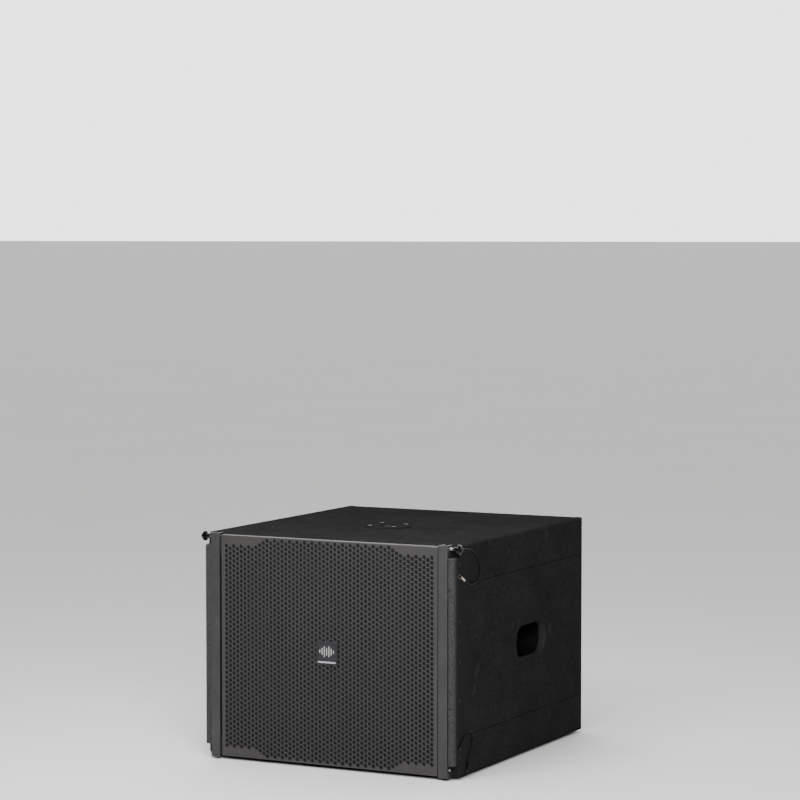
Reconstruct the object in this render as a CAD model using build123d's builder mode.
"""Subwoofer cabinet with front rigging rails, built as separate pieces in millimetres.

Frame: +Z up, the grille faces -Y and +X is the cabinet's right side. The origin is on the floor,
under the middle of the cabinet.
"""
from build123d import *
import math
import os

# ---- driving dimensions -------------------------------------------------------------------------
BOX_W = 620.0          # wooden box, across the side panels
BOX_H = 500.0          # wooden box, bottom panel to top panel
BOX_D = 660.0          # wooden box, front edge to back edge
FRONT_SET = 24.0       # rail faces stand this far in front of the wooden box
PLY = 18.0             # birch plywood thickness
EDGE_R = 6.0           # rounded outer edges of the box
FOOT_H = 5.0           # rubber feet
FOOT_R = 19.0
FOOT_INSET = 75.0      # feet centres in from the box sides, front and back
FOOT_TAPER = 12.0      # degrees
FOOT_BORE_R = 7.0      # recess for the screw and its washer
FOOT_FLOOR = 1.5       # rubber left under the box
FOOT_HEAD = (5.0, 2.5)
REAR_RECESS = 20.0     # the rear panel sits this far inside the back edge
GAP = 0.3              # clearance between neighbouring pieces

RAIL_W = 22.0          # rail face
RAIL_T = 3.0           # rail steel
WEB_INSET = 3.0        # inner web stands in from the rail face's inner edge
TONGUE_D = 50.0        # rail's mounting tongue inside the box
TONGUE_END = 45.0      # tongue stops this far from the rail's ends
RAIL_EDGE_R = 1.2      # rail's rounded front edges
RAIL_BOLT_BACK = 25.0  # rail bolts behind the box front
RAIL_BOLT_Z = (-165.0, -55.0, 55.0, 165.0)     # from the box's middle
RAIL_HEAD = (6.0, 3.3)     # radius and height of the bolt heads
BUMPER_SET = 1.0       # bumper's front behind the rail face
BUMPER_CLEAR = 0.1     # bumper strip to side plate
BUMPER_INSET = 27.0    # open notch above and below the bumper
BUMPER_R = 3.5
PLATE_T = 3.0          # side plate
PLATE_D = 46.0         # side plate, front to back
PLATE_FRONT = 9.0      # part of the plate in front of the wooden box
PLATE_INSET = 6.0      # plate ends below and above the box edges
PLATE_SCREW_IN = 3.5   # plate screws in front of the box front
PLATE_SCREW_Z = (208.0, 88.0, 0.0, -83.0, -207.0)
PLATE_HEAD = (4.0, 1.2)
ANCHOR_Z = (183.0, -185.0)     # lanyard anchor screws
ANCHOR_HEAD = (4.0, 1.8)
LOW_ANCHOR_BACK = 32.0     # lowest anchor behind the box front
LOW_ANCHOR_UP = 9.0

PIN_Y_SET = 14.0       # pin axis behind the rail face
PIN_DROP = 9.0         # pin axis below the top of the rail
PIN_R = 4.0
PIN_CLEAR = 0.1
STOP_RISE = 17.0       # lower link bolt above the rail's foot
STOP_IN = 2.5          # link bolt's end inside the web
STOP_HEAD_R = 2.8
STOP_HEAD_T = 2.2
STOP_ROUND = 1.5
COLLAR_R = 5.8         # pin's collar outside the rail
COLLAR_L = 4.0
DETENT_R = 1.0         # detent balls in the pin's end
DETENT_PROUD = 0.05
DETENT_IN = 1.6        # ball centres from the rail's inner edge
PIN_POINT = 0.8        # chamfer on the pin's end
KNOB_R = 11.0
KNOB_L = 18.0
KNOB_DISC = 7.2        # the knob's wide part, from its face
KNOB_CLEAR = 0.8       # the wide part stands off the side panel
KNOB_NECK_R = 6.0
KNOB_WAIST = 0.5       # the neck thins by this much
KNOB_RIM = 1.0         # small bevel at the back of the wide part
KNOB_SLOPE = 2.0
KNOB_FACE = (2.5, 3.5)     # bevel round the knob's face
SHAFT_IN = 8.0         # the pin's end inside the knob
LUG = 3.0              # lanyard lug on the knob's rim
LUG_W = 5.0
LUG_EASE = 0.5
BUTTON_R = 4.5
BUTTON_L = 8.5         # button, and the bore it runs in
BUTTON_CLEAR = 0.1
BUTTON_ROUND = 1.2
BUTTON_TRAVEL = 4.0

GRILLE_SET = 3.0       # grille face behind the rail face
GRILLE_T = 1.5
GRILLE_D = 14.0        # folded edges of the grille
GRILLE_GAP = 2.5       # between rail and grille, beside the main part
GRILLE_LOW = 3.0       # grille's lower edge above the box's
GRILLE_TOP = 3.5       # grille's upper edge below the box's
GRILLE_FOLD_R = 2.5
TAB_W = 2.2            # grille corners reach closer to the rail
TAB_H = 45.0
TAB_BACK = 2.6         # tabs behind the grille face
TAB_END = 3.0          # tabs stop this far from the grille's ends
FOAM_T = 8.0
FOAM_IN = 4.0          # foam in from the grille's edges
BADGE = 52.0
BADGE_T = 3.0
BADGE_R = 2.5
BADGE_BEVEL = 0.8
BADGE_RIM = 3.5
BADGE_DEEP = 0.6       # the badge's field below its rim
POST_X = 215.0         # grille posts, from the middle of the grille
POST_Z = 212.0
POST_R = 7.0
POST_PEG_R = 3.0
POST_PEG_L = 12.0

GROOVE_IN = 86.0       # side grooves, from the top and bottom edges
GROOVE_W = 2.6         # side of the square cutter that runs on its corner
GROOVE_START = 50.0    # behind the box front

HANDLE_W = 160.0
HANDLE_H = 76.0
HANDLE_R = 34.0
HANDLE_BACK = 370.0    # handle centre behind the box front
CUP_T = 3.0
CUP_D = 60.0
CUP_GROW = 8.0         # the cup is this much wider than its opening, all round
CUP_FLANGE = 20.0
HANDLE_SCREW_OUT = 11.0    # screws past the opening's ends
HANDLE_SCREW_Z = 36.0      # screws above and below the opening's middle
HANDLE_HEAD = (4.4, 2.4)

POLE_BACK = 268.0      # pole socket behind the box front
POLE_BORE_R = 18.0
POLE_DEPTH = 85.0
POLE_PLATE_R = 53.5
POLE_PLATE_T = 3.0
POLE_PLATE_BEVEL = 1.0
POLE_SCREW_R = 43.0    # circle of the pole plate's screws
POLE_HEAD = (4.4, 1.6)
THREAD_R = 8.65        # M20 thread, minor radius
THREAD_L = 20.0
POLE_WALL = 2.9
POLE_CLEAR = 0.1       # pole cup in the top panel's hole

BAFFLE_SET = 12.0      # baffle face behind the box front
PORT_W = 40.0
PORT_WALL = 15.0
PORT_D = 250.0
BRACE_BACK = 488.0
BRACE_RIM = 60.0       # wood left round the brace's window
BRACE_R = 45.0
LINING_T = 20.0
LINING_IN = 8.0        # lining in from the panels
PILOT_D = 12.0         # wood screw holes
BOLT_D = 14.0          # bolt and threaded insert holes
SCREW_SPARE = 1.0      # wood screws end this far above their holes' floor

DRIVER_R = 230.0       # 18 inch loudspeaker, over the flange
DRIVER_CLEAR = 1.5     # panels are relieved to this clearance round the flange
CUTOUT_IN = 18.0       # baffle cutout in from the flange's edge
BOLT_IN = 9.0          # bolt circle in from the flange's edge
RIM_IN = 24.0          # frame's opening in from the flange's edge
DRIVER_HEAD = (4.8, 4.0)
GASKET_T = 3.0
GASKET_CLEAR = 0.2     # gasket to the bolt heads
FLANGE_T = 8.0
BASKET_D = 140.0
BASKET_WALL = 5.0
BASKET_HOLE_R = 95.0   # in the frame's back
LEDGE_D = 116.0        # spider ledge behind the baffle face
LEDGE_W = 10.0
LEDGE_T = 6.0
WINDOWS = 6            # openings between the frame's spokes
WINDOW_RIM = 16.0      # from the frame's opening to the windows
WINDOW_FOOT = 12.0     # from the ledge to the windows
WINDOW_FRONT = 22.0    # windows start behind the baffle face
WINDOW_BACK = 8.0      # and end in front of the ledge
WINDOW_SWEEP = (38.0, 30.0)    # degrees, outer and inner edge
SURROUND_SEAT = 0.5    # surround's outer edge in from the opening
SURROUND_ROLL = 11.5
SURROUND_T = 1.5
CONE_SET = 2.0         # cone's edge behind the flange face
CONE_D = 95.0
CONE_EDGE = 4.0        # turned-up edge of the cone
CONE_WALL = 2.0
CONE_LEAN = 1.5        # front edge of the wall, ahead of the outer edge
CONE_NECK_WALL = 1.2
NECK_L = 3.0           # cone's neck on the coil former
CAP_R = 62.0           # dust cap
CAP_RISE = 19.0
CAP_WAY = 0.55         # the dome's middle point, as a part of its radius
CAP_MID = 13.2         # rise there
CAP_T = 2.0
CAP_EDGE = 1.0
CAP_LIP = 1.5
COIL_R = 50.0
COIL_OUT = 1.0         # winding outside the former
FORMER_T = 0.8
FORMER_FRONT = 4.0     # former reaches into the cone's neck
COIL_PAST = 4.0        # winding past the top plate, each way
SPIDER_R = 127.5
SPIDER_RIM = 1.5       # glued rim
SPIDER_CLEAR = 0.5     # rim to the basket's wall
SPIDER_BORE = 1.6      # spider's bore outside the coil former
SPIDER_T = 1.2
SPIDER_WAVES = 5
WAVE_D = 5.0
MAGNET_R = 115.0
MAGNET_T = 24.0
MAGNET_BORE_R = 62.0
VENT_R = 12.0          # vent through the pole piece
POLE_PIECE_GAP = 2.0   # pole piece to the coil former
PLATE_GAP = 2.2        # top plate's bore outside the coil former
IRON_IN = 3.0          # steel plates inside the magnet's edge
IRON_T = 10.0
TERMINAL_W = 44.0
TERMINAL_H = 9.0
TERMINAL_T = 12.0
TERMINAL_X = 14.0      # the two posts, from the middle
TERMINAL_POST_R = 3.2
TERMINAL_POST_L = 7.0
LEAD_R = 2.2

PANEL_W = 150.0        # rear connector plate
PANEL_H = 100.0
PANEL_T = 3.0
PANEL_R = 6.0
PANEL_LAP = 18.0       # plate laps the opening behind it
PANEL_SCREW_IN = 8.0   # screws in from the plate's edges
PANEL_HEAD = (4.4, 2.2)
SOCKET_R = 12.0        # hole for each socket
SOCKET_CLEAR = 0.1
SOCKET_WALL = 1.9
SOCKET_FACE = (30.0, 34.0, 4.0)    # flange's width, height and corner radius
SOCKET_FACE_T = 3.0
SOCKET_D = 24.0        # body behind the plate's face
SOCKET_BORE_D = 20.0
SOCKET_PITCH = 60.0

CORD_R = 1.25
CORD_OFF = 3.2         # cord centre off the side plate

# ---- places worked out from them ----------------------------------------------------------------
HALF_D = (BOX_D + FRONT_SET) / 2
FACE_Y = -HALF_D
BOX_FRONT = FACE_Y + FRONT_SET
BOX_BACK = HALF_D
Z0 = FOOT_H
Z1 = FOOT_H + BOX_H
MID_Z = (Z0 + Z1) / 2
SIDE_X = BOX_W / 2
IN_X = SIDE_X - PLY
IN_Z0 = Z0 + PLY
IN_Z1 = Z1 - PLY
IN_H = BOX_H - 2 * PLY
RAIL_IN = IN_X - RAIL_W
PIN_Y = FACE_Y + PIN_Y_SET
PIN_Z = Z1 - PIN_DROP
STOP_Z = Z0 + STOP_RISE
BUMPER_Z0 = Z0 + BUMPER_INSET
BUMPER_Z1 = Z1 - BUMPER_INSET
PLATE_X = SIDE_X - PLATE_T
BUMPER_X = IN_X + GAP
BUMPER_X1 = PLATE_X - BUMPER_CLEAR
PLATE_Y0 = BOX_FRONT - PLATE_FRONT
SCREW_Y = BOX_FRONT - PLATE_SCREW_IN
HANDLE_Y = BOX_FRONT + HANDLE_BACK
POLE_Y = BOX_FRONT + POLE_BACK
BAFFLE_Y = BOX_FRONT + BAFFLE_SET
PORT_IN = IN_X - PORT_W - PORT_WALL
REAR_Y = BOX_BACK - REAR_RECESS
GRILLE_Y = FACE_Y + GRILLE_SET
GRILLE_X = RAIL_IN - GRILLE_GAP
GRILLE_Z0 = Z0 + GRILLE_LOW
GRILLE_Z1 = Z1 - GRILLE_TOP
FLANGE_Y = BAFFLE_Y - FLANGE_T
CUTOUT_R = DRIVER_R - CUTOUT_IN
BOLT_CIRCLE_R = DRIVER_R - BOLT_IN
RIM_R = DRIVER_R - RIM_IN
ROLL_MID = RIM_R - SURROUND_SEAT - SURROUND_ROLL
CONE_R = ROLL_MID - SURROUND_ROLL - GAP
LEDGE_R = SPIDER_R + SPIDER_CLEAR
LEDGE_Y = BAFFLE_Y + LEDGE_D
CONE_Y = FLANGE_Y + CONE_SET
NECK_Y = CONE_Y + CONE_D
IRON_Y = BAFFLE_Y + BASKET_D
MAGNET_Y = IRON_Y + IRON_T
BACK_Y = MAGNET_Y + MAGNET_T

PLATE_SCREWS = [(SCREW_Y, MID_Z + z) for z in PLATE_SCREW_Z]
ANCHORS = [(SCREW_Y, MID_Z + z) for z in ANCHOR_Z]
LOW_ANCHOR = (BOX_FRONT + LOW_ANCHOR_BACK, Z0 + LOW_ANCHOR_UP)
RAIL_BOLTS = [(BOX_FRONT + RAIL_BOLT_BACK, MID_Z + z) for z in RAIL_BOLT_Z]
FEET = [(x * (SIDE_X - FOOT_INSET), y) for x in (-1, 1)
        for y in (BOX_FRONT + FOOT_INSET, BOX_BACK - FOOT_INSET)]
HANDLE_SCREWS = [(HANDLE_Y + a * (HANDLE_W / 2 + HANDLE_SCREW_OUT), MID_Z + b * HANDLE_SCREW_Z)
                 for a in (-1, 1) for b in (-1, 1)]
POLE_SCREWS = [(POLE_SCREW_R * math.cos(math.radians(a)), POLE_Y + POLE_SCREW_R * math.sin(math.radians(a)))
               for a in (45, 135, 225, 315)]
PANEL_SCREWS = [(a * (PANEL_W / 2 - PANEL_SCREW_IN), MID_Z + b * (PANEL_H / 2 - PANEL_SCREW_IN))
                for a in (-1, 1) for b in (-1, 1)]
DRIVER_BOLTS = [(BOLT_CIRCLE_R * math.cos(math.radians(22.5 + 45 * i)),
                 MID_Z + BOLT_CIRCLE_R * math.sin(math.radians(22.5 + 45 * i))) for i in range(8)]
POSTS = [(a * POST_X, MID_Z + b * POST_Z) for a in (-1, 1) for b in (-1, 1)]
SHANK_R = 2.2
SCREW_L = 12.5         # side plate screws, under the head

# Routes of the right-hand lanyards over the side, as (y, z) points that end at an anchor screw.
TOP_CORD = [(PIN_Y + KNOB_R + LUG + GAP, PIN_Z), (-291, 496), (-263, 489), (-239, 473), (-223, 449),
            (-229, 425), (-252, 414), (-280, 416), ANCHORS[0]]
LOW_CORD = [LOW_ANCHOR, (-280, 47), (-265, 64), (-259, 85), (-273, 102), (-297, 98), ANCHORS[1]]
FERRULE_L = 22.0       # from the anchor screw to the sleeve's end
FERRULE_R = 2.8
EYELET_R = 5.0
EYELET_T = 1.2
EYELET_LAP = 0.4       # the sleeve reaches over the eyelet

os.makedirs("parts", exist_ok=True)


def side_plane(x):
    """Plane facing +X, whose local axes are (Y, Z)."""
    return Plane(origin=(x, 0, 0), x_dir=(0, 1, 0), z_dir=(1, 0, 0))


def front_plane(y):
    """Plane facing -Y, whose local axes are (X, Z)."""
    return Plane(origin=(0, y, 0), x_dir=(1, 0, 0), z_dir=(0, -1, 0))


def back_plane(y):
    """Plane facing +Y, whose local axes are (-X, Z)."""
    return Plane(origin=(0, y, 0), x_dir=(-1, 0, 0), z_dir=(0, 1, 0))


def block(x0, x1, y0, y1, z0, z1, mode=Mode.ADD):
    """Add or cut a block given by its low and high corners."""
    with Locations(((x0 + x1) / 2, (y0 + y1) / 2, (z0 + z1) / 2)):
        Box(x1 - x0, y1 - y0, z1 - z0, mode=mode)


def drill(plane, points, radius, depth):
    """Cut round holes of one size into the part, down from the plane."""
    with BuildSketch(plane) as holes:
        with Locations(*points):
            Circle(radius)
    extrude(holes.sketch, amount=-depth, mode=Mode.SUBTRACT)


def fasteners(plane, points, head, depth):
    """A set of equal screws: heads of (radius, height) on the plane, shanks below it."""
    head_r, head_h = head
    with BuildPart() as made:
        with BuildSketch(plane):
            with Locations(*points):
                Circle(head_r)
        extrude(amount=head_h)
        with BuildSketch(plane):
            with Locations(*points):
                Circle(SHANK_R)
        extrude(amount=-depth)
        drill(plane.offset(head_h), points, head_r * 0.4, head_h * 0.6)
    return made


def turned(outline):
    """Turn an outline of (radius, y) points about the loudspeaker's axis."""
    with BuildPart() as made:
        with BuildSketch(Plane.XY.offset(MID_Z)):
            with BuildLine():
                Polyline(*outline, close=True)
            make_face()
        revolve(axis=Axis((0, 0, MID_Z), (0, 1, 0)))
    return made


def relieve():
    """Cut the panel back round the loudspeaker's flange, where the box is tight for it."""
    with BuildSketch(front_plane(BAFFLE_Y)) as flange:
        with Locations((0, MID_Z)):
            Circle(DRIVER_R + DRIVER_CLEAR)
    extrude(flange.sketch, amount=FLANGE_T, mode=Mode.SUBTRACT)


def keep(made, name):
    """Label a finished piece and write it."""
    made.part.label = name
    export_step(made.part, f"parts/{name}.step")


def mirrored(made):
    """The left-hand twin of a right-hand piece."""
    with BuildPart() as twin:
        mirror(made.part, about=Plane.YZ)
    return twin


def pair(made, name):
    """Write a right-hand piece and its left-hand twin."""
    keep(made, f"{name}_right")
    keep(mirrored(made), f"{name}_left")


def both_sides(made, name):
    """Write a right-hand set and its left-hand twin as one node."""
    with BuildPart() as whole:
        add(made.part)
        mirror(made.part, about=Plane.YZ)
    keep(whole, name)


# ---- wooden box ---------------------------------------------------------------------------------
with BuildPart() as side_panel:
    block(IN_X, SIDE_X, BOX_FRONT, BOX_BACK, Z0, Z1)
    fillet(side_panel.edges().group_by(Axis.X)[-1], radius=EDGE_R)
    block(PLATE_X, SIDE_X, BOX_FRONT, PLATE_Y0 + PLATE_D, Z0 + PLATE_INSET, Z1 - PLATE_INSET,
          mode=Mode.SUBTRACT)
    for groove_z in (Z0 + GROOVE_IN, Z1 - GROOVE_IN):
        with BuildSketch(Plane(origin=(SIDE_X, BOX_FRONT + GROOVE_START, groove_z),
                               x_dir=(1, 0, 0), z_dir=(0, 1, 0))):
            with Locations((0, 0)):
                Rectangle(GROOVE_W, GROOVE_W, rotation=45)
        extrude(amount=BOX_D, mode=Mode.SUBTRACT)
    with BuildSketch(side_plane(SIDE_X)):
        with Locations((HANDLE_Y, MID_Z)):
            RectangleRounded(HANDLE_W, HANDLE_H, HANDLE_R)
    extrude(amount=-PLY, mode=Mode.SUBTRACT)
    drill(side_plane(IN_X + PILOT_D), HANDLE_SCREWS, SHANK_R, PILOT_D)
    drill(side_plane(IN_X + BOLT_D), RAIL_BOLTS, SHANK_R, BOLT_D)
    drill(side_plane(SIDE_X), [LOW_ANCHOR], SHANK_R, SCREW_L)
pair(side_panel, "side_panel")

with BuildPart() as top_panel:
    block(-IN_X, IN_X, BOX_FRONT, BOX_BACK, IN_Z1, Z1)
    fillet(top_panel.edges().filter_by(Axis.X).group_by(Axis.Z)[-1], radius=EDGE_R)
    drill(Plane.XY.offset(Z1), [(0, POLE_Y)], POLE_BORE_R + POLE_WALL + POLE_CLEAR, PLY)
    drill(Plane.XY.offset(Z1), POLE_SCREWS, SHANK_R, BOLT_D)
    relieve()
keep(top_panel, "top_panel")

with BuildPart() as bottom_panel:
    block(-IN_X, IN_X, BOX_FRONT, BOX_BACK, Z0, IN_Z0)
    fillet(bottom_panel.edges().filter_by(Axis.X).group_by(Axis.Z)[0], radius=EDGE_R)
    drill(Plane.XY.offset(Z0 + PILOT_D), FEET, SHANK_R, PILOT_D)
    relieve()
keep(bottom_panel, "bottom_panel")

with BuildPart() as rear_panel:
    block(-IN_X, IN_X, REAR_Y - PLY, REAR_Y, IN_Z0, IN_Z1)
    block(-PANEL_W / 2 + PANEL_LAP, PANEL_W / 2 - PANEL_LAP, REAR_Y - PLY, REAR_Y,
          MID_Z - PANEL_H / 2 + PANEL_LAP, MID_Z + PANEL_H / 2 - PANEL_LAP, mode=Mode.SUBTRACT)
    drill(back_plane(REAR_Y), PANEL_SCREWS, SHANK_R, PILOT_D)
keep(rear_panel, "rear_panel")

with BuildPart() as baffle:
    block(-PORT_IN, PORT_IN, BAFFLE_Y, BAFFLE_Y + PLY, IN_Z0, IN_Z1)
    drill(front_plane(BAFFLE_Y), [(0, MID_Z)], CUTOUT_R, PLY)
    drill(front_plane(BAFFLE_Y), DRIVER_BOLTS, SHANK_R, BOLT_D)
    drill(front_plane(BAFFLE_Y), POSTS, POST_PEG_R, POST_PEG_L)
keep(baffle, "baffle")

with BuildPart() as port_wall:
    block(PORT_IN, PORT_IN + PORT_WALL, BAFFLE_Y, BAFFLE_Y + PORT_D, IN_Z0, IN_Z1)
    fillet(port_wall.edges().filter_by(Axis.Z).group_by(Axis.Y)[-1], radius=PORT_WALL / 2 - 0.5)
pair(port_wall, "port_wall")

with BuildPart() as brace:
    block(-IN_X, IN_X, BOX_FRONT + BRACE_BACK, BOX_FRONT + BRACE_BACK + PORT_WALL, IN_Z0, IN_Z1)
    with BuildSketch(front_plane(BOX_FRONT + BRACE_BACK)):
        with Locations((0, MID_Z)):
            RectangleRounded(2 * (IN_X - BRACE_RIM), IN_H - 2 * BRACE_RIM, BRACE_R)
    extrude(amount=-PORT_WALL, mode=Mode.SUBTRACT)
keep(brace, "brace")

with BuildPart() as lining:
    block(-IN_X + LINING_IN, IN_X - LINING_IN, REAR_Y - PLY - LINING_T, REAR_Y - PLY,
          IN_Z0 + LINING_IN, IN_Z1 - LINING_IN)
    block(-PANEL_W / 2, PANEL_W / 2, REAR_Y - PLY - LINING_T, REAR_Y - PLY,
          MID_Z - PANEL_H / 2, MID_Z + PANEL_H / 2, mode=Mode.SUBTRACT)
keep(lining, "acoustic_lining")

with BuildPart() as feet:
    with BuildSketch(Plane.XY.offset(Z0)):
        with Locations(*FEET):
            Circle(FOOT_R)
    extrude(amount=-FOOT_H, taper=FOOT_TAPER)
    with BuildSketch(Plane.XY):
        with Locations(*FEET):
            Circle(FOOT_BORE_R)
    extrude(amount=FOOT_H - FOOT_FLOOR, mode=Mode.SUBTRACT)
    drill(Plane.XY.offset(Z0), FEET, SHANK_R, FOOT_H)
keep(feet, "rubber_feet")
FOOT_SEAT = Plane(origin=(0, 0, FOOT_H - FOOT_FLOOR), x_dir=(1, 0, 0), z_dir=(0, 0, -1))
keep(fasteners(FOOT_SEAT, [(x, -y) for x, y in FEET], FOOT_HEAD, PILOT_D), "foot_screws")

# ---- rigging rails, bumpers and side plates -----------------------------------------------------
with BuildPart() as rail:
    block(RAIL_IN, IN_X, FACE_Y, FACE_Y + RAIL_T, Z0, Z1)
    fillet(rail.edges().filter_by(Axis.Z).group_by(Axis.Y)[0], radius=RAIL_EDGE_R)
    block(IN_X - RAIL_T, IN_X, FACE_Y + RAIL_T, BOX_FRONT, Z0, Z1)
    block(RAIL_IN + WEB_INSET, RAIL_IN + WEB_INSET + RAIL_T, FACE_Y + RAIL_T, BOX_FRONT - GAP, Z0, Z1)
    block(IN_X - RAIL_T, IN_X, BOX_FRONT, BOX_FRONT + TONGUE_D, Z0 + TONGUE_END, Z1 - TONGUE_END)
    drill(side_plane(IN_X), [(PIN_Y, PIN_Z), (PIN_Y, STOP_Z)], PIN_R + PIN_CLEAR, RAIL_W)
    drill(side_plane(IN_X), RAIL_BOLTS, SHANK_R, RAIL_T)
pair(rail, "rail")
both_sides(fasteners(Plane(origin=(IN_X - RAIL_T, 0, 0), x_dir=(0, -1, 0), z_dir=(-1, 0, 0)),
                     [(-y, z) for y, z in RAIL_BOLTS], RAIL_HEAD, RAIL_T + BOLT_D), "rail_bolts")

with BuildPart() as bumper:
    block(BUMPER_X, BUMPER_X1, FACE_Y + BUMPER_SET, BOX_FRONT - GAP, BUMPER_Z0, BUMPER_Z1)
    fillet(bumper.edges().group_by(Axis.Y)[0], radius=BUMPER_R)
    drill(side_plane(PLATE_X), PLATE_SCREWS + ANCHORS, SHANK_R, SCREW_L - PLATE_T)
pair(bumper, "bumper")

with BuildPart() as side_plate:
    block(PLATE_X, SIDE_X, BOX_FRONT, PLATE_Y0 + PLATE_D, Z0 + PLATE_INSET, Z1 - PLATE_INSET)
    block(PLATE_X, SIDE_X, PLATE_Y0, BOX_FRONT, BUMPER_Z0, BUMPER_Z1)
    drill(side_plane(SIDE_X), PLATE_SCREWS + ANCHORS + [LOW_ANCHOR], SHANK_R, PLATE_T)
pair(side_plate, "side_plate")
with BuildPart() as plate_screws:
    add(fasteners(side_plane(SIDE_X), PLATE_SCREWS, PLATE_HEAD, SCREW_L).part)
    add(fasteners(side_plane(SIDE_X + EYELET_T), ANCHORS + [LOW_ANCHOR], ANCHOR_HEAD, SCREW_L).part)
both_sides(plate_screws, "side_plate_screws")

with BuildPart() as stop_pin:
    with BuildSketch(side_plane(RAIL_IN + WEB_INSET - STOP_IN)):
        with Locations((PIN_Y, STOP_Z)):
            Circle(PIN_R)
    extrude(amount=RAIL_W - WEB_INSET + STOP_IN)
    with BuildSketch(side_plane(IN_X)):
        with Locations((PIN_Y, STOP_Z)):
            Circle(STOP_HEAD_R)
    extrude(amount=STOP_HEAD_T)
    fillet(stop_pin.edges().group_by(Axis.X)[-1], radius=STOP_ROUND)
both_sides(stop_pin, "lower_link_bolts")

# ---- quick-release pins -------------------------------------------------------------------------
DISC_X = SIDE_X + KNOB_CLEAR   # the knob's wide part
KNOB_END = DISC_X + KNOB_DISC
KNOB_X = KNOB_END - KNOB_L     # knob's inner face
BORE_X = KNOB_END - BUTTON_L   # floor of the button's bore
DETENT_OUT = PIN_R + DETENT_PROUD - DETENT_R
with BuildPart() as pin_shaft:
    with BuildSketch(side_plane(RAIL_IN + GAP)):
        with Locations((PIN_Y, PIN_Z)):
            Circle(PIN_R)
    extrude(amount=KNOB_X + SHAFT_IN - RAIL_IN - GAP)
    chamfer(pin_shaft.edges().group_by(Axis.X)[0], length=PIN_POINT)
    with BuildSketch(side_plane(IN_X + GAP)):
        with Locations((PIN_Y, PIN_Z)):
            Circle(COLLAR_R)
    extrude(amount=COLLAR_L)
    with Locations(*[(RAIL_IN + DETENT_IN, PIN_Y, PIN_Z + side * DETENT_OUT) for side in (-1, 1)]):
        Sphere(DETENT_R)
pair(pin_shaft, "pin_shaft")

with BuildPart() as pin_knob:
    with BuildSketch(Plane(origin=(0, PIN_Y, PIN_Z))):
        with BuildLine():
            Polyline((KNOB_X, 0), (KNOB_X, KNOB_NECK_R), (KNOB_X + SHAFT_IN / 2, KNOB_NECK_R - KNOB_WAIST),
                     (DISC_X - KNOB_SLOPE, KNOB_NECK_R + KNOB_WAIST), (DISC_X, KNOB_R - KNOB_RIM),
                     (DISC_X + KNOB_RIM, KNOB_R), (KNOB_END - KNOB_FACE[0], KNOB_R),
                     (KNOB_END, KNOB_R - KNOB_FACE[1]), (KNOB_END, 0), close=True)
        make_face()
    revolve(axis=Axis((0, PIN_Y, PIN_Z), (1, 0, 0)))
    drill(side_plane(KNOB_X + SHAFT_IN), [(PIN_Y, PIN_Z)], PIN_R, SHAFT_IN)
    drill(side_plane(KNOB_END), [(PIN_Y, PIN_Z)], BUTTON_R + BUTTON_CLEAR, BUTTON_L)
    block(DISC_X + LUG_EASE, KNOB_END - KNOB_FACE[0], PIN_Y + KNOB_R - KNOB_RIM, PIN_Y + KNOB_R + LUG,
          PIN_Z - LUG_W / 2, PIN_Z + LUG_W / 2)
pair(pin_knob, "pin_knob")

with BuildPart() as pin_button:
    with BuildSketch(side_plane(BORE_X + BUTTON_TRAVEL + GAP)):
        with Locations((PIN_Y, PIN_Z)):
            Circle(BUTTON_R)
    extrude(amount=BUTTON_L)
    fillet(pin_button.edges().group_by(Axis.X)[-1], radius=BUTTON_ROUND)
pair(pin_button, "pin_button")


# ---- lanyards -----------------------------------------------------------------------------------
def arc_radii(points):
    """Radius of each bend: 0.45 of its shorter run, divided by the tangent of half the turn."""
    radii = []
    for before, here, after in zip(points, points[1:], points[2:]):
        run_in = (Vector(here) - Vector(before))
        run_out = (Vector(after) - Vector(here))
        half_turn = math.radians(run_in.get_angle(run_out)) / 2
        radii.append(0.45 * min(run_in.length, run_out.length) / math.tan(half_turn))
    return radii


def sleeve_end(anchor, beyond):
    """Where the crimp sleeve from an anchor screw ends, on the way to the route's next point."""
    run = Vector(beyond) - Vector(anchor)
    tip = Vector(anchor) + run.normalized() * FERRULE_L
    return (tip.X, tip.Y)


def lanyard(points_yz, name):
    """Cord along (y, z) points over the right side; prints its bends, length and volume ratio."""
    points = [(SIDE_X + CORD_OFF, y, z) for y, z in points_yz]
    radii = arc_radii(points)
    with BuildLine() as path:
        FilletPolyline(*points, radius=radii)
    route = path.wire()
    with BuildPart() as cord:
        with BuildSketch(Plane(origin=route @ 0, z_dir=route % 0)):
            Circle(CORD_R)
        sweep(path=route)
    ratio = cord.part.volume / (math.pi * CORD_R ** 2 * route.length)
    print(name, "length", round(route.length, 1), "volume ratio", round(ratio, 4),
          "radii", [round(r, 1) for r in radii])
    pair(cord, name)


TOP_TIP = sleeve_end(TOP_CORD[-1], TOP_CORD[-2])
LOW_TIP = sleeve_end(LOW_CORD[-1], LOW_CORD[-2])
LOW_START = sleeve_end(LOW_CORD[0], LOW_CORD[1])
lanyard(TOP_CORD[:-1] + [TOP_TIP], "lanyard_top")
lanyard([LOW_START] + LOW_CORD[1:-1] + [LOW_TIP], "lanyard_lower")


def ferrule(tip, anchor):
    """Crimp sleeve on a cord's end, and the eyelet under its anchor screw."""
    run = Vector(0, anchor[0] - tip[0], anchor[1] - tip[1])
    with BuildSketch(Plane(origin=(SIDE_X + CORD_OFF, *tip), z_dir=run)) as sleeve:
        Circle(FERRULE_R)
    extrude(sleeve.sketch, amount=FERRULE_L - EYELET_R + EYELET_LAP)
    with BuildSketch(side_plane(SIDE_X)) as eyelet:
        with Locations(anchor):
            Circle(EYELET_R)
            Circle(SHANK_R, mode=Mode.SUBTRACT)
    extrude(eyelet.sketch, amount=EYELET_T)


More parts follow.
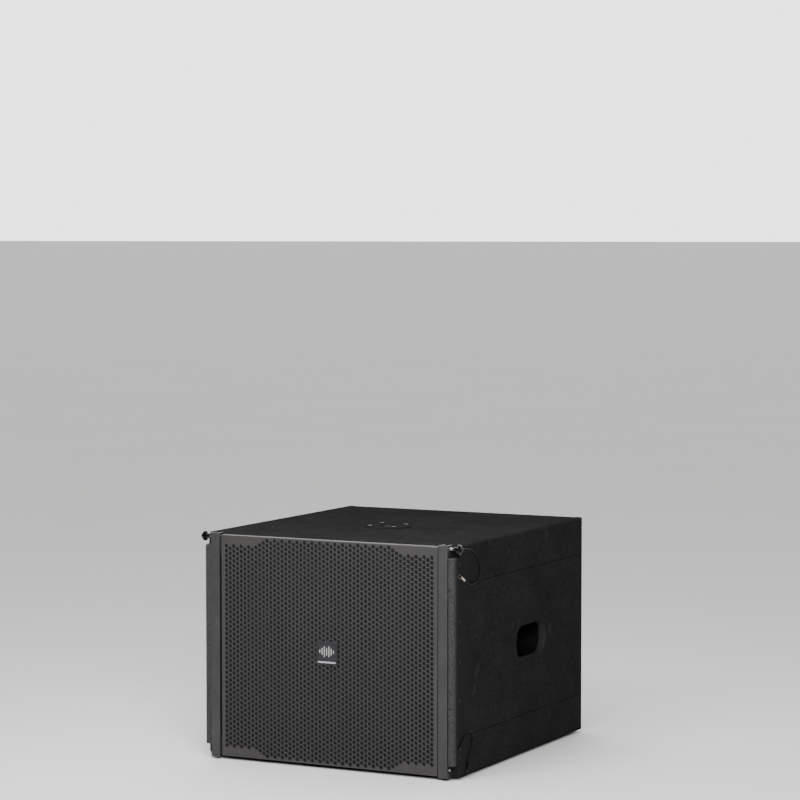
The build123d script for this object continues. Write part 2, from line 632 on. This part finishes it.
with BuildPart() as ferrules:
    ferrule(TOP_TIP, TOP_CORD[-1])
    ferrule(LOW_TIP, LOW_CORD[-1])
    ferrule(LOW_START, LOW_CORD[0])
both_sides(ferrules, "lanyard_ferrules")

# ---- grille -------------------------------------------------------------------------------------
with BuildPart() as grille:
    block(-GRILLE_X, GRILLE_X, GRILLE_Y, GRILLE_Y + GRILLE_D, GRILLE_Z0, GRILLE_Z1)
    fillet(grille.edges().group_by(Axis.Y)[0], radius=GRILLE_FOLD_R)
    block(-GRILLE_X + GRILLE_T, GRILLE_X - GRILLE_T, GRILLE_Y + GRILLE_T, GRILLE_Y + GRILLE_D,
          GRILLE_Z0 + GRILLE_T, GRILLE_Z1 - GRILLE_T, mode=Mode.SUBTRACT)
    for sign in (-1, 1):
        for low in (GRILLE_Z0 + TAB_END, GRILLE_Z1 - TAB_END - TAB_H):
            tab = sorted((sign * GRILLE_X, sign * (GRILLE_X + TAB_W)))
            block(tab[0], tab[1], GRILLE_Y + TAB_BACK, GRILLE_Y + TAB_BACK + GRILLE_T, low, low + TAB_H)
keep(grille, "grille")

with BuildPart() as foam:
    block(-GRILLE_X + FOAM_IN, GRILLE_X - FOAM_IN, GRILLE_Y + GRILLE_T, GRILLE_Y + GRILLE_T + FOAM_T,
          GRILLE_Z0 + FOAM_IN, GRILLE_Z1 - FOAM_IN)
    drill(front_plane(GRILLE_Y + GRILLE_T), POSTS, POST_R, FOAM_T)
keep(foam, "grille_foam")

with BuildPart() as posts:
    with BuildSketch(front_plane(BAFFLE_Y)):
        with Locations(*POSTS):
            Circle(POST_R)
    extrude(amount=BAFFLE_Y - GRILLE_Y - GRILLE_T)
    with BuildSketch(front_plane(BAFFLE_Y)):
        with Locations(*POSTS):
            Circle(POST_PEG_R)
    extrude(amount=-POST_PEG_L)
keep(posts, "grille_posts")

with BuildPart() as badge:
    with BuildSketch(front_plane(GRILLE_Y)):
        with Locations((0, MID_Z)):
            RectangleRounded(BADGE, BADGE, BADGE_R)
    extrude(amount=BADGE_T)
    chamfer(badge.edges().group_by(Axis.Y)[0], length=BADGE_BEVEL)
    with BuildSketch(front_plane(GRILLE_Y - BADGE_T)):
        with Locations((0, MID_Z)):
            Rectangle(BADGE - 2 * BADGE_RIM, BADGE - 2 * BADGE_RIM)
    extrude(amount=-BADGE_DEEP, mode=Mode.SUBTRACT)
keep(badge, "badge_plate")

# ---- loudspeaker --------------------------------------------------------------------------------
with BuildPart() as basket:
    add(turned([(RIM_R, FLANGE_Y), (DRIVER_R, FLANGE_Y), (DRIVER_R, BAFFLE_Y),
                (RIM_R + BASKET_WALL, BAFFLE_Y), (LEDGE_R + BASKET_WALL, LEDGE_Y),
                (LEDGE_R + BASKET_WALL, LEDGE_Y + LEDGE_T),
                (MAGNET_R, IRON_Y), (BASKET_HOLE_R, IRON_Y), (BASKET_HOLE_R, IRON_Y - BASKET_WALL),
                (MAGNET_R - BASKET_WALL, IRON_Y - BASKET_WALL), (LEDGE_R - LEDGE_W, LEDGE_Y),
                (LEDGE_R, LEDGE_Y), (RIM_R, BAFFLE_Y)]).part)
    drill(front_plane(FLANGE_Y), DRIVER_BOLTS, SHANK_R, FLANGE_T)
    with BuildSketch(front_plane(BAFFLE_Y + WINDOW_FRONT)):
        with Locations((0, MID_Z)):
            with PolarLocations(0, WINDOWS):
                with BuildLine():
                    wide, narrow = WINDOW_SWEEP
                    outer = CenterArc((0, 0), RIM_R - WINDOW_RIM, -wide / 2, wide)
                    inner = CenterArc((0, 0), LEDGE_R + WINDOW_FOOT, -narrow / 2, narrow)
                    Line(outer @ 0, inner @ 0)
                    Line(outer @ 1, inner @ 1)
                make_face()
    extrude(amount=-(LEDGE_D - WINDOW_FRONT - WINDOW_BACK), mode=Mode.SUBTRACT)
keep(basket, "basket")

GASKET_Y = FLANGE_Y - GASKET_T
GASKET_R = BOLT_CIRCLE_R - DRIVER_HEAD[0] - GASKET_CLEAR
keep(turned([(RIM_R, GASKET_Y), (GASKET_R, GASKET_Y), (GASKET_R, FLANGE_Y), (RIM_R, FLANGE_Y)]),
     "driver_gasket")

with BuildPart() as surround:
    with BuildSketch(Plane.XY.offset(MID_Z)):
        with Locations((ROLL_MID, CONE_Y)):
            Circle(SURROUND_ROLL)
            Circle(SURROUND_ROLL - SURROUND_T, mode=Mode.SUBTRACT)
        with Locations((ROLL_MID, CONE_Y + SURROUND_ROLL)):
            Rectangle(4 * SURROUND_ROLL, 2 * SURROUND_ROLL, mode=Mode.SUBTRACT)
    revolve(axis=Axis((0, 0, MID_Z), (0, 1, 0)))
keep(surround, "surround")

CONE_NECK_R = COIL_R + CONE_NECK_WALL
CONE_BACK_R = CONE_R - CONE_WALL
CONE_BACK_Y = CONE_Y - CONE_LEAN
keep(turned([(CONE_R, CONE_Y - CONE_EDGE), (CONE_R, CONE_Y), (CONE_NECK_R, NECK_Y),
             (CONE_NECK_R, NECK_Y + NECK_L), (COIL_R, NECK_Y + NECK_L), (COIL_R, NECK_Y - CONE_WALL),
             (CONE_BACK_R, CONE_BACK_Y),
             (CONE_BACK_R, CONE_Y - CONE_EDGE)]), "cone")

# The dust cap sits on the cone's front where the cone is CAP_R wide.
CONE_RUN = (NECK_Y - CONE_WALL - CONE_BACK_Y) / (CONE_BACK_R - COIL_R)
CAP_Y = NECK_Y - CONE_WALL - (CAP_R - COIL_R) * CONE_RUN
CAP_BACK = CAP_RISE - CAP_T
with BuildPart() as dust_cap:
    with BuildSketch(Plane.XY.offset(MID_Z)):
        with BuildLine():
            front = ThreePointArc((0, CAP_Y - CAP_RISE), (CAP_R * CAP_WAY, CAP_Y - CAP_MID),
                                  (CAP_R - CAP_EDGE, CAP_Y - CAP_EDGE))
            back = ThreePointArc((0, CAP_Y - CAP_BACK), (CAP_R * CAP_WAY, CAP_Y - CAP_MID + CAP_T),
                                 (CAP_R - CAP_EDGE - CAP_LIP, CAP_Y - CAP_EDGE / 2))
            Line(front @ 0, back @ 0)
            Line(front @ 1, back @ 1)
        make_face()
    revolve(axis=Axis((0, 0, MID_Z), (0, 1, 0)))
keep(dust_cap, "dust_cap")

WINDING_R = COIL_R + COIL_OUT
keep(turned([(COIL_R - FORMER_T, NECK_Y - FORMER_FRONT), (COIL_R, NECK_Y - FORMER_FRONT),
             (COIL_R, IRON_Y - COIL_PAST), (WINDING_R, IRON_Y - COIL_PAST), (WINDING_R, MAGNET_Y + COIL_PAST),
             (COIL_R - FORMER_T, MAGNET_Y + COIL_PAST)]), "voice_coil")

SPIDER_IN = COIL_R + SPIDER_BORE
SPIDER_Y = LEDGE_Y - SPIDER_T
WAVE = (SPIDER_R - SPIDER_RIM - SPIDER_IN) / (2 * SPIDER_WAVES)
crest = [(SPIDER_IN + WAVE * i, SPIDER_Y - (WAVE_D if i % 2 else 0)) for i in range(2 * SPIDER_WAVES + 1)]
back_crest = [(radius, y + SPIDER_T) for radius, y in reversed(crest)]
keep(turned(crest + [(SPIDER_R, SPIDER_Y), (SPIDER_R, LEDGE_Y)] + back_crest), "spider")

PLATE_BORE_R = COIL_R + PLATE_GAP
IRON_R = MAGNET_R - IRON_IN
POLE_PIECE_R = COIL_R - POLE_PIECE_GAP
keep(turned([(PLATE_BORE_R, IRON_Y), (IRON_R, IRON_Y), (IRON_R, MAGNET_Y), (PLATE_BORE_R, MAGNET_Y)]),
     "top_plate")
keep(turned([(MAGNET_BORE_R, MAGNET_Y), (MAGNET_R, MAGNET_Y), (MAGNET_R, BACK_Y), (MAGNET_BORE_R, BACK_Y)]),
     "magnet")
keep(turned([(VENT_R, IRON_Y), (POLE_PIECE_R, IRON_Y), (POLE_PIECE_R, BACK_Y), (IRON_R, BACK_Y),
             (IRON_R, BACK_Y + IRON_T), (VENT_R, BACK_Y + IRON_T)]), "back_plate_and_pole")
keep(fasteners(front_plane(FLANGE_Y), DRIVER_BOLTS, DRIVER_HEAD, FLANGE_T + BOLT_D), "driver_bolts")

TERMINAL_Z = MID_Z - LEDGE_R - BASKET_WALL - GAP
TERMINAL_Y = LEDGE_Y + TERMINAL_T
POST_MID_Z = TERMINAL_Z - TERMINAL_H / 2
with BuildPart() as terminals:
    block(-TERMINAL_W / 2, TERMINAL_W / 2, LEDGE_Y, TERMINAL_Y, TERMINAL_Z - TERMINAL_H, TERMINAL_Z)
    with BuildSketch(back_plane(TERMINAL_Y)):
        with Locations((-TERMINAL_X, POST_MID_Z), (TERMINAL_X, POST_MID_Z)):
            Circle(TERMINAL_POST_R)
    extrude(amount=TERMINAL_POST_L)
keep(terminals, "driver_terminals")


def lead(x):
    """Loudspeaker lead from a driver terminal, along the floor of the box, to the rear connectors."""
    start = TERMINAL_Y + TERMINAL_POST_L
    end = REAR_Y - PLY - LINING_T + 6
    points = [(x, start, POST_MID_Z), (x, start + 45, POST_MID_Z),
              (x, start + 100, TERMINAL_Z - 14), (x, start + 155, TERMINAL_Z - 19),
              (x, start + 210, TERMINAL_Z - 18), (x, start + 265, TERMINAL_Z - 10),
              (x, start + 315, TERMINAL_Z + 10), (x, start + 360, TERMINAL_Z + 40),
              (x, start + 395, TERMINAL_Z + 80), (x, end - 22, MID_Z - 8), (x, end, MID_Z)]
    with BuildLine() as path:
        FilletPolyline(*points, radius=arc_radii(points))
    with BuildSketch(Plane(origin=path.wire() @ 0, z_dir=path.wire() % 0)) as section:
        Circle(LEAD_R)
    sweep(sections=section.sketch, path=path.wire())


with BuildPart() as leads:
    lead(-TERMINAL_X)
    lead(TERMINAL_X)
keep(leads, "speaker_leads")

# ---- pole socket --------------------------------------------------------------------------------
with BuildPart() as pole_plate:
    with BuildSketch(Plane.XY.offset(Z1)):
        with Locations((0, POLE_Y)):
            Circle(POLE_PLATE_R)
    extrude(amount=POLE_PLATE_T)
    chamfer(pole_plate.edges().group_by(Axis.Z)[-1], length=POLE_PLATE_BEVEL)
    drill(Plane.XY.offset(Z1 + POLE_PLATE_T), [(0, POLE_Y)], POLE_BORE_R, POLE_PLATE_T)
    drill(Plane.XY.offset(Z1 + POLE_PLATE_T), POLE_SCREWS, SHANK_R, POLE_PLATE_T)
keep(pole_plate, "pole_plate")

with BuildPart() as pole_cup:
    with BuildSketch(Plane.XY.offset(Z1)):
        with Locations((0, POLE_Y)):
            Circle(POLE_BORE_R + POLE_WALL)
            Circle(POLE_BORE_R, mode=Mode.SUBTRACT)
    extrude(amount=-POLE_DEPTH)
keep(pole_cup, "pole_cup")

with BuildPart() as pole_insert:
    with BuildSketch(Plane.XY.offset(Z1 - POLE_DEPTH)):
        with Locations((0, POLE_Y)):
            Circle(POLE_BORE_R + POLE_WALL)
            Circle(THREAD_R, mode=Mode.SUBTRACT)
    extrude(amount=-THREAD_L)
keep(pole_insert, "pole_thread_insert")
keep(fasteners(Plane.XY.offset(Z1 + POLE_PLATE_T), POLE_SCREWS, POLE_HEAD,
               POLE_PLATE_T + BOLT_D - SCREW_SPARE), "pole_plate_screws")

# ---- pocket handles -----------------------------------------------------------------------------
CUP_W = HANDLE_W + 2 * CUP_GROW
CUP_H = HANDLE_H + 2 * CUP_GROW
CUP_R = HANDLE_R + CUP_GROW
with BuildPart() as handle_cup:
    with BuildSketch(side_plane(IN_X)):
        with Locations((HANDLE_Y, MID_Z)):
            RectangleRounded(HANDLE_W + 2 * CUP_FLANGE, HANDLE_H + 2 * CUP_FLANGE, HANDLE_R)
    extrude(amount=-CUP_T)
    with BuildSketch(side_plane(IN_X)):
        with Locations((HANDLE_Y, MID_Z)):
            RectangleRounded(CUP_W + 2 * CUP_T, CUP_H + 2 * CUP_T, CUP_R + CUP_T)
    extrude(amount=-CUP_D)
    fillet(handle_cup.edges().group_by(Axis.X)[0], radius=CUP_T)
    with BuildSketch(side_plane(IN_X)):
        with Locations((HANDLE_Y, MID_Z)):
            RectangleRounded(CUP_W, CUP_H, CUP_R)
    extrude(amount=-(CUP_D - CUP_T), mode=Mode.SUBTRACT)
    drill(side_plane(IN_X), HANDLE_SCREWS, SHANK_R, CUP_T)
pair(handle_cup, "handle_cup")
both_sides(fasteners(Plane(origin=(IN_X - CUP_T, 0, 0), x_dir=(0, -1, 0), z_dir=(-1, 0, 0)),
                     [(-y, z) for y, z in HANDLE_SCREWS], HANDLE_HEAD, CUP_T + PILOT_D - SCREW_SPARE),
           "handle_screws")

# ---- rear connector plate -----------------------------------------------------------------------
SOCKETS = [(-SOCKET_PITCH / 2, MID_Z), (SOCKET_PITCH / 2, MID_Z)]
with BuildPart() as connector_plate:
    with BuildSketch(back_plane(REAR_Y)):
        with Locations((0, MID_Z)):
            RectangleRounded(PANEL_W, PANEL_H, PANEL_R)
    extrude(amount=PANEL_T)
    drill(back_plane(REAR_Y + PANEL_T), SOCKETS, SOCKET_R, PANEL_T)
    drill(back_plane(REAR_Y + PANEL_T), PANEL_SCREWS, SHANK_R, PANEL_T)
keep(connector_plate, "connector_plate")
keep(fasteners(back_plane(REAR_Y + PANEL_T), PANEL_SCREWS, PANEL_HEAD, PANEL_T + PILOT_D - SCREW_SPARE),
     "connector_plate_screws")

for (socket_u, socket_z), name in zip(SOCKETS, ("connector_input", "connector_link")):
    with BuildPart() as socket:
        with BuildSketch(back_plane(REAR_Y + PANEL_T)):
            with Locations((socket_u, socket_z)):
                RectangleRounded(*SOCKET_FACE)
        extrude(amount=SOCKET_FACE_T)
        with BuildSketch(back_plane(REAR_Y + PANEL_T)):
            with Locations((socket_u, socket_z)):
                Circle(SOCKET_R - SOCKET_CLEAR)
        extrude(amount=-SOCKET_D)
        with BuildSketch(back_plane(REAR_Y + PANEL_T + SOCKET_FACE_T)):
            with Locations((socket_u, socket_z)):
                Circle(SOCKET_R - SOCKET_CLEAR - SOCKET_WALL)
        extrude(amount=-SOCKET_BORE_D, mode=Mode.SUBTRACT)
    keep(socket, name)
